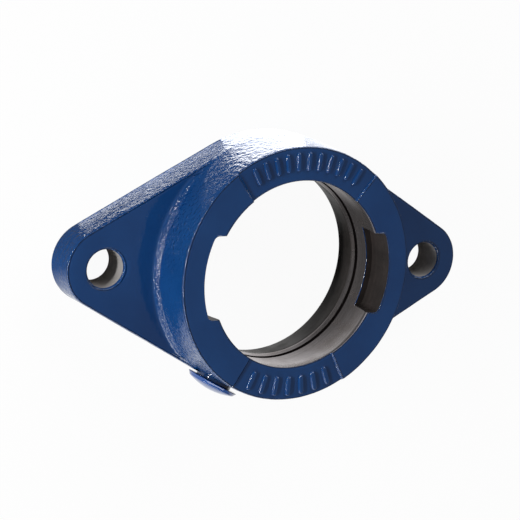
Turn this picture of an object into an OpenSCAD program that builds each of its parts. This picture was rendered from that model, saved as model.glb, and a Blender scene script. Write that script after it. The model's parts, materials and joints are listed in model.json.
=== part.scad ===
// Two-bolt oval flange housing for a self-aligning insert bearing.
// One iron casting holds a spherical seat, two slots that let the insert in, and a
// lubrication port that a push-in plug closes.
// The mounting face lies on z = 0, the bore runs along +Z and the bolt holes lie along X.

/* [Flange] */
// Distance between the two bolt holes
bolt_spacing = 117; // [106:0.5:150]
// Diameter of each bolt hole
bolt_hole_d = 12; // [8:0.5:16]
// Radius of each ear round its bolt hole
ear_r = 13; // [11:0.5:18]
// Radius of the flange's middle, round the bore
flange_mid_r = 42; // [38:0.1:48]
// Thickness of the flange
flange_t = 12; // [9:0.5:15]
// Inward lean of the flange's sides, in degrees
flange_draft = 1.5; // [0.5:0.1:3]
// Rounding of the flange's front edge
flange_round = 1; // [0.4:0.1:2]
// Rounding of each bolt hole's front mouth
hole_round = 1.2; // [0.4:0.1:2]

/* [Hub] */
// Height from the mounting face to the front face
housing_h = 28; // [26:0.5:34]
// Diameter of the hub at its front face
hub_d = 81; // [77:0.5:90]
// Inward lean of the hub's wall, in degrees
hub_draft = 4; // [1:0.5:6]
// Rounding of the hub's front edge
hub_round = 1; // [0.4:0.1:2]
// Fillet between the hub and the flange
foot_fillet = 2; // [1:0.1:4]

/* [Bearing seat] */
// Diameter of the spherical seat
seat_d = 62; // [58:0.5:65]
// Height of the seat's centre above the mounting face
seat_z = 18; // [16:0.5:19]
// How far the front lip stands in from the seat's widest radius
lip_in = 1.15; // [0.6:0.05:1.6]
// Chamfer of the front mouth
mouth_chamfer = 0.3; // [0.2:0.1:1]
// How far the seat reaches behind its centre
seat_back = 7.8; // [7:0.1:9]
// How far the rear relief opens beyond the seat's widest radius
relief_out = 0.5; // [0.2:0.1:2]
// Chamfer of the rear relief at the mounting face
relief_chamfer = 0.4; // [0.3:0.1:2]

/* [Grease groove] */
// Width of the groove in the seat
groove_w = 1.3; // [0.8:0.1:2.5]
// Depth of the groove below the seat
groove_depth = 1.2; // [0.6:0.1:2]
// Distance of the groove's middle behind the seat's centre
groove_back = 5.4; // [4:0.1:5.6]

/* [Loading slots] */
// Width of the two slots
slot_w = 26; // [20:0.5:30]
// How far the slots' round walls stand out from the seat's widest radius
slot_out = 2.2; // [1:0.1:4]
// Rounding of the slots' outer corners
slot_round = 1.8; // [0.5:0.1:3]

/* [Front pads] */
// Depth of the two sunk pads on the front face
pad_depth = 0.7; // [0.3:0.1:1.2]
// Angle that the upper pad covers, in degrees
upper_pad_angle = 76; // [40:1:100]
// Angle that the lower pad covers, in degrees
lower_pad_angle = 60; // [40:1:100]

/* [Lubrication port] */
// Direction of the port round the bore, in degrees from +X
port_angle = 243; // [235:1:265]
// Diameter of the raised face round the port
port_face_d = 12; // [10.5:0.5:16]
// How far that face stands out from the flange's widest edge
port_face_out = 0.1; // [0.1:0.1:2]
// Diameter of the port
port_d = 8.8; // [6:0.1:9.5]
// Depth of the port
port_depth = 6.5; // [5.5:0.1:8]
// Diameter of the drilling from the port to the groove
drill_d = 4; // [2:0.1:5]

/* [Plug] */
// Diameter of the plug's head
plug_d = 17; // [14:0.5:20]
// Thickness of the head at its rim
plug_rim = 1.2; // [0.8:0.1:2]
// Height of the head's dome above its rim
plug_dome = 1.6; // [0.4:0.1:2]
// How far the rim narrows from the port's face to the dome
plug_taper = 0.6; // [0.1:0.1:1]
// Length of the plug's stem
plug_stem = 5; // [3:0.1:5.2]
// Wall of the hollow stem
plug_wall = 1.2; // [0.8:0.1:1.6]
// Clearance of the plug in its port and spot face, all round
plug_clear = 0.15; // [0.1:0.05:0.3]

/* [Hidden] */
$fn = 180;
// Straight pieces that each quarter turn of a small rounding is made of
round_steps = 5;
// Depth to which pieces of one solid run into each other
lap = 1;
// Small step that keeps two faces from only just touching
nick = 0.03;

bolt_x = bolt_spacing / 2;
hub_r = hub_d / 2;
seat_r = seat_d / 2;
mouth_r = seat_r - lip_in;
relief_r = seat_r + relief_out;
slot_r = seat_r + slot_out;
// Direction, from +X, of the points where the straight sides touch the round ones
side_angle = acos((flange_mid_r - ear_r) / bolt_x);
side_l = bolt_x * sin(side_angle);
groove_z = seat_z - groove_back;
groove_r = sqrt(seat_r ^ 2 - groove_back ^ 2) + groove_depth;
land_r = sqrt(seat_r ^ 2 - seat_back ^ 2);
port_face_r = flange_mid_r + port_face_out;
stem_r = port_d / 2 - plug_clear;

// Radius, at height z, of a wall that leans inward from radius r at height 0
function leaning(r, lean, z) = r - z * tan(lean);

// Section of an outer wall, from z = low to its rounded edge at z = high, as points [radius, z]
function rounded_wall(r, lean, low, high, rounding) =
  let (zc = high - rounding, xc = leaning(r, lean, zc) - rounding / cos(lean))
  concat(
    [[leaning(r, lean, low), low]],
    [for (i = [0 : round_steps])
      let (a = lean + (90 - lean) * i / round_steps)
      [xc + rounding * cos(a), zc + rounding * sin(a)]]
  );

// Section of the flange's edge, where its side stands at radius r on the mounting face
function flange_edge(r) = rounded_wall(r, flange_draft, 0, flange_t, flange_round);

// Radius round the bore at which the flat of the flange's front face ends
flat_r = flange_edge(flange_mid_r)[round_steps + 1][0];

// Corners of the flange's outline without its round ends, for a middle of radius r
function outline(r) =
  let (ear = r - flange_mid_r + ear_r, x = cos(side_angle), y = sin(side_angle))
  [for (s = [1, -1])
    each s * [[-bolt_x - ear * x, ear * y], [-r * x, r * y], [r * x, r * y], [bolt_x + ear * x, ear * y]]];

// One of the flange's three round ends, turned about its own middle
module round_end(r) {
  rotate_extrude()
    polygon(concat([[0, 0]], flange_edge(r), [[0, flange_t]]));
}

// Edge of one straight side, kept just inside the round ends that it runs between
module straight_edge() {
  inner = flat_r - lap;
  rotate([0, 0, side_angle])
    rotate([90, 0, 0])
      linear_extrude(side_l)
        polygon(concat([[inner, 0]], flange_edge(flange_mid_r - nick), [[inner, flange_t - lap]]));
}

// Flange: a round middle and two round ears with straight sides that touch all three
module flange() {
  round_end(flange_mid_r);
  for (x = [-bolt_x, bolt_x])
    translate([x, 0, 0])
      round_end(ear_r);
  linear_extrude(flange_t)
    polygon(outline(flat_r - nick / 2));
  for (mx = [0, 1], my = [0, 1])
    mirror([mx, 0, 0])
      mirror([0, my, 0])
        straight_edge();
}

// The flat of the flange's front face, as a prism tall enough to trim the foot fillet
module flange_flat() {
  tall = foot_fillet + lap;
  translate([0, 0, flange_t - lap]) {
    linear_extrude(tall)
      polygon(outline(flat_r - nick));
    cylinder(r = flat_r, h = tall);
    for (x = [-bolt_x, bolt_x])
      translate([x, 0, 0])
        cylinder(r = flat_r - flange_mid_r + ear_r, h = tall);
  }
}

// Radius of the hub's leaning wall at height z
function hub_wall(z) = leaning(hub_r + housing_h * tan(hub_draft), hub_draft, z);

// Hub: a leaning wall with a rounded front edge
module hub() {
  foot_z = flange_t - flange_round / 2;
  wall = rounded_wall(hub_wall(0), hub_draft, foot_z, housing_h, hub_round);
  rotate_extrude()
    polygon(concat(
      [[0, foot_z - lap], [hub_wall(foot_z), foot_z - lap]],
      wall,
      [[0, housing_h]]
    ));
}

// Fillet round the hub's foot, as far as the flange's front face reaches
module foot() {
  zc = flange_t + foot_fillet - nick;
  xc = hub_wall(zc) + foot_fillet / cos(hub_draft);
  arc = [for (i = [0 : round_steps])
    let (a = 180 + hub_draft + (90 - hub_draft) * i / round_steps)
    [xc + foot_fillet * cos(a), zc + foot_fillet * sin(a)]];
  intersection() {
    rotate_extrude()
      polygon(concat(
        [[hub_r - foot_fillet, flange_t - lap / 2], [hub_r - foot_fillet, arc[0][1]]],
        arc,
        [[xc, flange_t - lap / 2]]
      ));
    flange_flat();
  }
}

// Places a shape with its own +Z pointing out of the lubrication port's face
module at_port() {
  rotate([0, 0, port_angle])
    translate([port_face_r, 0, groove_z])
      rotate([0, 90, 0])
        children();
}

// Radius of the rear relief at height z, narrowing from the mounting face to the seat's edge
function relief_wall(z) = relief_r - (relief_r - land_r) * z / (seat_z - seat_back);

// Space inside the bore: front mouth, spherical seat, groove, rear relief
module bore() {
  translate([0, 0, seat_z]) {
    sphere(r = seat_r);
    cylinder(r = mouth_r, h = housing_h - seat_z + lap);
  }
  translate([0, 0, housing_h - mouth_chamfer - lap])
    cylinder(r1 = mouth_r - lap, r2 = mouth_r + mouth_chamfer + lap, h = mouth_chamfer + 2 * lap);
  translate([0, 0, groove_z - groove_w / 2])
    cylinder(r = groove_r, h = groove_w);
  cylinder(r1 = relief_r, r2 = relief_wall(seat_z - seat_back + lap), h = seat_z - seat_back + lap);
  translate([0, 0, -lap])
    cylinder(
      r1 = relief_wall(relief_chamfer) + relief_chamfer + lap,
      r2 = relief_wall(relief_chamfer) - lap,
      h = relief_chamfer + 2 * lap
    );
}

// Outline of the two loading slots, straight across the bore with round outer walls
module slot_outline() {
  corner_y = slot_w / 2 - slot_round;
  corner_x = sqrt((slot_r - slot_round) ^ 2 - corner_y ^ 2);
  turn = atan2(corner_y, corner_x);
  upper = [for (i = [0 : round_steps])
    let (a = 90 - (90 - turn) * i / round_steps)
    [corner_x + slot_round * cos(a), corner_y + slot_round * sin(a)]];
  wall = [for (i = [1 : 2 * round_steps - 1])
    let (a = turn * (1 - i / round_steps))
    [slot_r * cos(a), slot_r * sin(a)]];
  lower = [for (i = [round_steps : -1 : 0]) [upper[i][0], -upper[i][1]]];
  half = concat(upper, wall, lower);
  polygon(concat(half, [for (p = half) -p]));
}

// Loading slots, open at the front and ending on the seat's middle plane
module slots() {
  translate([0, 0, seat_z])
    linear_extrude(housing_h - seat_z + lap)
      slot_outline();
}

// Space over a sunk pad of the front face, centred on the direction given
module pad_space(middle, angle) {
  floor_z = housing_h - pad_depth;
  edge = rounded_wall(hub_wall(0) + 2 * nick, hub_draft, floor_z - 2 * hub_round, floor_z, hub_round);
  outer = hub_wall(0) + lap;
  rotate([0, 0, middle - angle / 2])
    rotate_extrude(angle = angle)
      polygon(concat(
        [[outer, floor_z - 2 * hub_round]],
        edge,
        [[mouth_r + mouth_chamfer, floor_z], [mouth_r - lap, floor_z - mouth_chamfer - lap],
         [mouth_r - lap, housing_h + lap], [outer, housing_h + lap]]
      ));
}

// Bolt hole with a rounded front mouth
module bolt_hole() {
  mouth_z = flange_t - hole_round + nick;
  rotate_extrude() {
    translate([0, -lap])
      square([bolt_hole_d / 2, mouth_z + lap]);
    difference() {
      translate([0, mouth_z])
        square([bolt_hole_d / 2 + hole_round, hole_round + lap]);
      translate([bolt_hole_d / 2 + hole_round, mouth_z])
        circle(r = hole_round);
    }
  }
}

// Lubrication port: a spot face for the plug's head, a short wide hole, then a drilling into the groove
module port_space() {
  drill_l = port_face_r - land_r + lap;
  at_port() {
    cylinder(d = plug_d + 2 * plug_clear, h = hub_r);
    translate([0, 0, -port_depth])
      cylinder(d = port_d, h = port_depth + lap);
    translate([0, 0, -drill_l])
      cylinder(d = drill_d, h = drill_l);
  }
}

// The whole casting
module housing() {
  color("#1f4a8c")
    difference() {
      union() {
        flange();
        hub();
        foot();
        at_port()
          translate([0, 0, -port_depth])
            cylinder(d = port_face_d, h = port_depth);
      }
      bore();
      slots();
      pad_space(90, upper_pad_angle);
      pad_space(270, lower_pad_angle);
      for (x = [-bolt_x, bolt_x])
        translate([x, 0, 0])
          bolt_hole();
      port_space();
    }
}

// Push-in plug: a tapered, domed head on the port's face and a hollow stem in the port
module port_plug() {
  head_r = plug_d / 2;
  dome_r = ((head_r - plug_taper) ^ 2 + plug_dome ^ 2) / (2 * plug_dome);
  tall = plug_rim + plug_dome + lap;
  color("#2a5da3")
    at_port()
      difference() {
        union() {
          intersection() {
            cylinder(r1 = head_r, r2 = head_r - plug_taper * tall / plug_rim, h = tall);
            translate([0, 0, plug_rim + plug_dome - dome_r])
              sphere(r = dome_r);
          }
          translate([0, 0, -plug_stem])
            cylinder(r = stem_r, h = plug_stem + plug_rim / 2);
        }
        translate([0, 0, -plug_stem - lap])
          cylinder(r = stem_r - plug_wall, h = plug_stem);
      }
}

housing();
port_plug();
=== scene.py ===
"""Looks of a two-bolt oval flange bearing housing: casting, port plug, cast ribs and a plain studio."""

import json
import logging
import math
from dataclasses import dataclass, field
from enum import Enum, IntEnum

import bpy
import numpy as np
from mathutils import Euler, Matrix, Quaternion, Vector


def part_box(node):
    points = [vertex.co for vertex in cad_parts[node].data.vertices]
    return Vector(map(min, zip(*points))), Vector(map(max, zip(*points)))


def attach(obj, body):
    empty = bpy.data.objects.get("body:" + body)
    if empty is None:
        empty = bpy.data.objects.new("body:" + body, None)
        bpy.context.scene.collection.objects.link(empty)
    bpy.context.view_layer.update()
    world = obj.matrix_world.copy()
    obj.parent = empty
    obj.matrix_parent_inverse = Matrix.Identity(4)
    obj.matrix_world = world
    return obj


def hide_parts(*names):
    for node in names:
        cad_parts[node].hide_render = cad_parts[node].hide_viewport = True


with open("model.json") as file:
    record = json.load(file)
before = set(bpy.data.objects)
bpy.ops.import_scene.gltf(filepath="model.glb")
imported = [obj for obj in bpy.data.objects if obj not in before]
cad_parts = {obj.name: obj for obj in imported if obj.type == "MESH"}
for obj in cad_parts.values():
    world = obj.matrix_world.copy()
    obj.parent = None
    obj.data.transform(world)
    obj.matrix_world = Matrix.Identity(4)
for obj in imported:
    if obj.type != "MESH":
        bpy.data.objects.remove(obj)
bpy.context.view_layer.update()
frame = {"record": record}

MM = 0.001
FULL_TURN = 360.0
QUARTER = math.pi / 2
NEAR_ZERO = 1e-9
WHOLE = (0.0, 1.0)
ROUND_STEPS = 96
BODY = "root"
ROUGH = "rough_cast"
Socket = bpy.types.NodeSocket
Feed = float | tuple | Socket
log = logging.getLogger("housing")


class Zone(IntEnum):
    """How a stretch of the casting is finished, as the number of its material slot."""

    ENAMEL = 0
    SEAT = 1
    GROOVE = 2
    DRILLED = 3
    BACK = 4
    SLOT = 5
    RELIEF = 6


class Use(Enum):
    """What a tool does to the casting."""

    JOIN = "UNION"
    CUT = "DIFFERENCE"


class Sum(Enum):
    """What a sum node works out."""

    ADD = "ADD"
    SUBTRACT = "SUBTRACT"
    MULTIPLY = "MULTIPLY"
    LARGER = "MAXIMUM"
    SIZE = "ABSOLUTE"


class Along(IntEnum):
    """The coordinate that a cutter's rings follow, as its place in a vector."""

    X = 0
    Z = 2


def mount(name: str) -> dict:
    """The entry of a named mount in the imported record."""
    return next(entry for entry in frame["record"]["mounts"] if entry["name"] == name)


def smooth_step(values: np.ndarray) -> np.ndarray:
    """Eases 0 to 1 by 3t^2 - 2t^3, with t held between 0 and 1."""
    held = np.clip(values, 0.0, 1.0)
    return held * held * (3.0 - 2.0 * held)


def rows_after(start: float, end: float, count: int) -> np.ndarray:
    """Evenly spaced values as a column, without the first, where the row before already stands."""
    return np.linspace(start, end, count)[1:, None]


def first_quarter(turn: np.ndarray) -> np.ndarray:
    """Folds directions into the first quarter turn, which the other three mirror."""
    return np.arctan2(np.abs(np.sin(turn)), np.abs(np.cos(turn)))


def metres(low: float, high: float) -> tuple[float, float]:
    """Two lengths in millimetres, as metres."""
    return (low * MM, high * MM)


def rgba(red: float, green: float, blue: float) -> tuple[float, float, float, float]:
    """An opaque colour, in linear light."""
    return (red, green, blue, 1.0)


@dataclass(frozen=True)
class Fade:
    """A soft limit: 0 before its start, 1 past its end, eased in between. The start may be the higher."""

    start: float
    end: float

    def at(self, values: np.ndarray) -> np.ndarray:
        """The share from 0 to 1 at each value."""
        return smooth_step((values - self.start) / (self.end - self.start))


@dataclass(frozen=True)
class LatticeNoise:
    """Smooth noise from 0 to its depth: corners of a cubic lattice have hashed values, eased in between."""

    cell: float
    depth: float
    seed: int

    def corner(self, index: np.ndarray) -> np.ndarray:
        """Hashes lattice corners by folding and multiplying whole numbers of 32 bits.

        Args:
            index: Whole-number corner places, with the three coordinates last.

        Returns:
            One value from 0 to 1 for each corner.
        """
        all_bits, seed_step, last_fold = 0xFFFFFFFF, 2654435761, 16
        axis_steps = np.array([73856093, 19349663, 83492791], np.int64)
        mixed = (np.bitwise_xor.reduce(index * axis_steps, axis=-1) + self.seed * seed_step) & all_bits
        for fold, factor in ((15, 2246822519), (13, 3266489917)):
            mixed = ((mixed ^ (mixed >> fold)) * factor) & all_bits
        return (mixed ^ (mixed >> last_fold)) / all_bits

    def at(self, points: np.ndarray) -> np.ndarray:
        """Reads the noise: the eight corner values of each point's cell, weighted by eased distances.

        Args:
            points: Places in millimetres, with the three coordinates last.

        Returns:
            One value from 0 to the depth for each point.
        """
        scaled = points / self.cell
        low = np.floor(scaled).astype(np.int64)
        share = smooth_step(scaled - low)
        total = np.zeros(points.shape[:-1])
        for corner in np.ndindex(2, 2, 2):
            weight = np.prod(np.where(np.array(corner) == 1, share, 1.0 - share), axis=-1)
            total += weight * self.corner(low + np.array(corner))
        return total * self.depth


def grid_faces(rows: int, columns: int, closed_rows: bool) -> np.ndarray:
    """Numbers the quads of a grid whose columns close into a ring.

    Args:
        rows: Points along each column.
        columns: Points round each row.
        closed_rows: Whether the last row joins the first again.

    Returns:
        Four point numbers for each quad, a row of quads at a time.
    """
    row = np.arange(rows if closed_rows else rows - 1)[:, None]
    column = np.arange(columns)[None, :]
    after = (column + 1) % columns
    here, above = row * columns, (row + 1) % rows * columns
    corners = (here + column, here + after, above + after, above + column)
    return np.stack(corners, axis=-1).reshape(-1, 4)


def shell_faces(rings: int, segments: int, shells: int = 1) -> list[list[int]]:
    """Numbers the faces of closed shells, each a stack of rings and then its lower and upper end point.

    Args:
        rings: Rings in each shell, lowest first.
        segments: Points round each ring.
        shells: How many shells follow one another.

    Returns:
        The quads between the rings, then a fan of triangles at each lower and each upper end.
    """
    ring = np.arange(segments)
    after = (ring + 1) % segments
    top, last = (rings - 1) * segments, rings * segments
    lower_fan = np.stack([np.full(segments, last), after, ring], axis=-1)
    upper_fan = np.stack([np.full(segments, last + 1), top + ring, top + after], axis=-1)
    first = np.arange(shells)[:, None, None] * (last + 2)
    quads = (first + grid_faces(rings, segments, False)).reshape(-1, 4)
    fans = (first + np.concatenate([lower_fan, upper_fan])).reshape(-1, 3)
    return quads.tolist() + fans.tolist()


def turned(profile: np.ndarray) -> tuple[np.ndarray, list[list[int]]]:
    """Turns a profile about Z: each point [radius, z] becomes a ring, and both ends close on the axis.

    Args:
        profile: Points [radius, z] in order, going up the outside, with no point on the axis.

    Returns:
        The points, and the faces with one fan of triangles at each end.
    """
    turn = np.linspace(0.0, 4.0 * QUARTER, ROUND_STEPS, endpoint=False)
    radius, height = profile[:, :1], profile[:, 1:]
    rings = np.stack([radius * np.cos(turn), radius * np.sin(turn), height + 0.0 * turn], axis=-1)
    ends = np.array([[0.0, 0.0, profile[0, 1]], [0.0, 0.0, profile[-1, 1]]])
    return np.concatenate([rings.reshape(-1, 3), ends]), shell_faces(len(profile), ROUND_STEPS)


def arc_points(
    centre: tuple[float, float], radius: float, turns: tuple[float, float], count: int
) -> np.ndarray:
    """Points [radius, z] along an arc: its centre plus its radius times cosine and sine.

    Args:
        centre: The arc's centre, as a radius and a height.
        radius: The arc's own radius.
        turns: Its first and last direction, in radians.
        count: How many points it has.

    Returns:
        The points in order.
    """
    turn = np.linspace(*turns, count)
    return np.stack([centre[0] + radius * np.cos(turn), centre[1] + radius * np.sin(turn)], axis=-1)


def shade(mesh: bpy.types.Mesh, crease: float) -> None:
    """Shades a mesh smooth, apart from edges that turn more than the angle given.

    Args:
        mesh: The mesh to shade.
        crease: The largest smooth turn, in degrees.
    """
    mesh.polygons.foreach_set("use_smooth", np.ones(len(mesh.polygons), bool))
    mesh.set_sharp_from_angle(angle=math.radians(crease))
    mesh.update()


def mesh_object(name: str, points: np.ndarray, faces: list, crease: float) -> bpy.types.Object:
    """Makes a mesh object at the origin from points in millimetres.

    Args:
        name: Name of the object and of its mesh.
        points: One row of three coordinates for each point.
        faces: Point numbers of each face.
        crease: Edges that turn more than this many degrees stay sharp.

    Returns:
        The object, linked to the scene.
    """
    mesh = bpy.data.meshes.new(name)
    mesh.from_pydata((points * MM).tolist(), [], faces)
    mesh.validate()
    shade(mesh, crease)
    made = bpy.data.objects.new(name, mesh)
    bpy.context.scene.collection.objects.link(made)
    return made


@dataclass(frozen=True)
class FlangeOutline:
    """Outline of the flange in millimetres: round middle, round ears and straight sides that touch both."""

    bolt_x: float
    ear_r: float = 13.0
    mid_r: float = 42.0

    @property
    def touch(self) -> float:
        """Direction from +X, in radians, in which a straight side touches the round ends."""
        return math.acos((self.mid_r - self.ear_r) / self.bolt_x)

    def radius(self, turn: np.ndarray, inset: np.ndarray | float) -> np.ndarray:
        """Distance of the outline from the bore's axis.

        In the first quarter turn the middle is a circle, the straight side is m / cos(turn - touch) and
        the ear is the far point of a circle about the bolt hole. The other quarters mirror it.

        Args:
            turn: Directions from +X, in radians.
            inset: How far the outline is moved inward.

        Returns:
            One distance for each direction and inset.
        """
        quarter = first_quarter(turn)
        middle, ear = self.mid_r - inset, self.ear_r - inset
        ear_turn = np.arctan2(ear * math.sin(self.touch), self.bolt_x + ear * math.cos(self.touch))
        side = middle / np.cos(quarter - self.touch)
        room = np.maximum(ear**2 - (self.bolt_x * np.sin(quarter)) ** 2, 0.0)
        lobe = self.bolt_x * np.cos(quarter) + np.sqrt(room)
        return np.where(quarter >= self.touch, middle, np.where(quarter >= ear_turn, side, lobe))


@dataclass(frozen=True)
class SlotOutline:
    """Outline of the two loading slots in millimetres, straight across the bore with round outer walls."""

    width: float = 26.0
    wall_r: float = 33.2
    corner_r: float = 1.8

    def radius(self, turn: np.ndarray) -> np.ndarray:
        """Distance of the slots' walls from the bore's axis.

        Near +X and -X it is the round wall, then the far point of the corner's circle, then the straight
        wall at half the width, which is w / sin(turn).

        Args:
            turn: Directions from +X, in radians.

        Returns:
            One distance for each direction.
        """
        quarter = first_quarter(turn)
        corner_y = self.width / 2 - self.corner_r
        corner_x = math.sqrt((self.wall_r - self.corner_r) ** 2 - corner_y**2)
        start, end = math.atan2(corner_y, corner_x), math.atan2(self.width / 2, corner_x)
        reach = math.hypot(corner_x, corner_y)
        room = np.maximum(self.corner_r**2 - (reach * np.sin(quarter - start)) ** 2, 0.0)
        corner = reach * np.cos(quarter - start) + np.sqrt(room)
        straight = self.width / 2 / np.maximum(np.sin(quarter), NEAR_ZERO)
        return np.where(quarter <= start, self.wall_r, np.where(quarter <= end, corner, straight))


@dataclass(frozen=True)
class Port:
    """The lubrication port in millimetres: a raised face on the hub, a bore and a drilling to the seat."""

    height: float
    turn: float = math.radians(243.0)
    face_r: float = 42.1
    face_d: float = 12.0
    face_edge: float = 0.2
    bore_d: float = 8.8
    bore_depth: float = 6.5
    drill_d: float = 4.0

    def place(self, points: np.ndarray) -> np.ndarray:
        """Lays a turned piece along the port, with its Z pointing out of it and its X pointing down.

        Args:
            points: Points of the piece, with Z measured from the port's face.

        Returns:
            The points in the part's own frame.
        """
        cos, sin = math.cos(self.turn), math.sin(self.turn)
        down, across, out = points[:, 0], points[:, 1], points[:, 2] + self.face_r
        return np.stack([out * cos - across * sin, out * sin + across * cos, self.height - down], axis=-1)

    def distance(self, points: np.ndarray) -> np.ndarray:
        """How far points lie from the port's axis, which ends at the bore's own axis.

        Args:
            points: Places in millimetres, one row of three for each point.

        Returns:
            One distance for each point, endless on the far side of the bore.
        """
        x, y, z = points.T
        cos, sin = math.cos(self.turn), math.sin(self.turn)
        from_axis = np.hypot(y * cos - x * sin, z - self.height)
        return np.where(x * cos + y * sin > 0.0, from_axis, np.inf)


@dataclass(frozen=True)
class Pad:
    """A sunk pad of the front face: the direction of its middle and the angle it covers, in degrees."""

    middle: float
    angle: float


@dataclass(frozen=True)
class Band:
    """Rows of the section: radius and height at every direction, finish of the quads that end at each row.

    The last field is the share of the cast relief that the rows take.
    """

    radius: np.ndarray
    height: np.ndarray
    zone: np.ndarray
    relief: float


@dataclass(frozen=True)
class SandGrain:
    """How rough the sand left the casting: full on upright walls, little on level faces and at the port.

    Attributes:
        leaning: From level to leaning faces, by how far their normal is from pointing up or down.
        upright: From leaning to upright walls, by how far their normal points up or down.
        from_upper: From walls that face +Y to walls that face along X, by the normal's Y.
        from_lower: From walls that face -Y to walls that face along X, by the normal's Y.
        calm: Share of the grain that upright walls facing along X are without.
        port_margin: Width in millimetres of the soft edge round the port's face.
    """

    leaning: Fade = Fade(0.03, 0.28)
    upright: Fade = Fade(0.25, 0.1)
    from_upper: Fade = Fade(0.35, -0.05)
    from_lower: Fade = Fade(-0.75, -0.35)
    calm: float = 0.7
    port_margin: float = 1.5

    def share(self, normals: np.ndarray, off_port: np.ndarray, port_r: float) -> np.ndarray:
        """Works out the share of full roughness.

        Args:
            normals: The surface's normal at each point.
            off_port: Each point's distance from the port's axis, in millimetres.
            port_r: Radius of the port's face.

        Returns:
            One share from 0 to 1 for each point.
        """
        _, across, up = normals.T
        steep = np.abs(up)
        side_wall = self.upright.at(steep) * self.from_upper.at(across) * self.from_lower.at(across)
        at_port = Fade(port_r + self.port_margin, port_r).at(off_port)
        return self.leaning.at(1.0 - steep) * (1.0 - at_port) * (1.0 - self.calm * side_wall)


@dataclass(frozen=True)
class Fineness:
    """How finely the casting is divided, in directions round it (degrees) and in rows along its section.

    Attributes:
        steps: Even directions all round.
        least_step: Directions closer together than this are dropped.
        pad_lines: Reach and number of the closer directions at each end of a pad.
        slot_lines: The same at each side wall of a slot.
        slot_wall: Direction of a slot's side walls from the slot's middle.
        rounding: Rows of a rounded edge. The fields after it count the rows of the other stretches.
    """

    steps: int = 540
    least_step: float = 0.05
    pad_lines: tuple[float, int] = (0.8, 9)
    slot_lines: tuple[float, int] = (2.8, 33)
    slot_wall: float = 23.6
    rounding: int = 7
    hole_mouth: int = 8
    back: int = 5
    side: int = 15
    flat: int = 13
    wall: int = 16
    front: int = 13
    seat: int = 14
    slot_floor: int = 5
    seat_back: int = 9
    land: int = 4
    relief: int = 8

    def directions(self, pads: tuple[Pad, ...]) -> np.ndarray:
        """Sets the section planes: even directions, with closer ones at pad ends and slot walls.

        Args:
            pads: The sunk pads of the front face.

        Returns:
            The directions in radians, in order.
        """
        sides = (-1, 1)
        pad_ends = [pad.middle + side * pad.angle / 2 for pad in pads for side in sides]
        slot_walls = [middle + side * self.slot_wall for middle in (0.0, FULL_TURN / 2) for side in sides]
        lines = [np.linspace(0.0, FULL_TURN, self.steps, endpoint=False)]
        for middles, (reach, count) in ((pad_ends, self.pad_lines), (slot_walls, self.slot_lines)):
            lines.append(np.add.outer(middles, np.linspace(-reach, reach, count)).ravel())
        every = np.unique(np.round(np.concatenate(lines) % FULL_TURN, decimals=3))
        return np.radians(every[np.diff(every, append=every[0] + FULL_TURN) > self.least_step])


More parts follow.
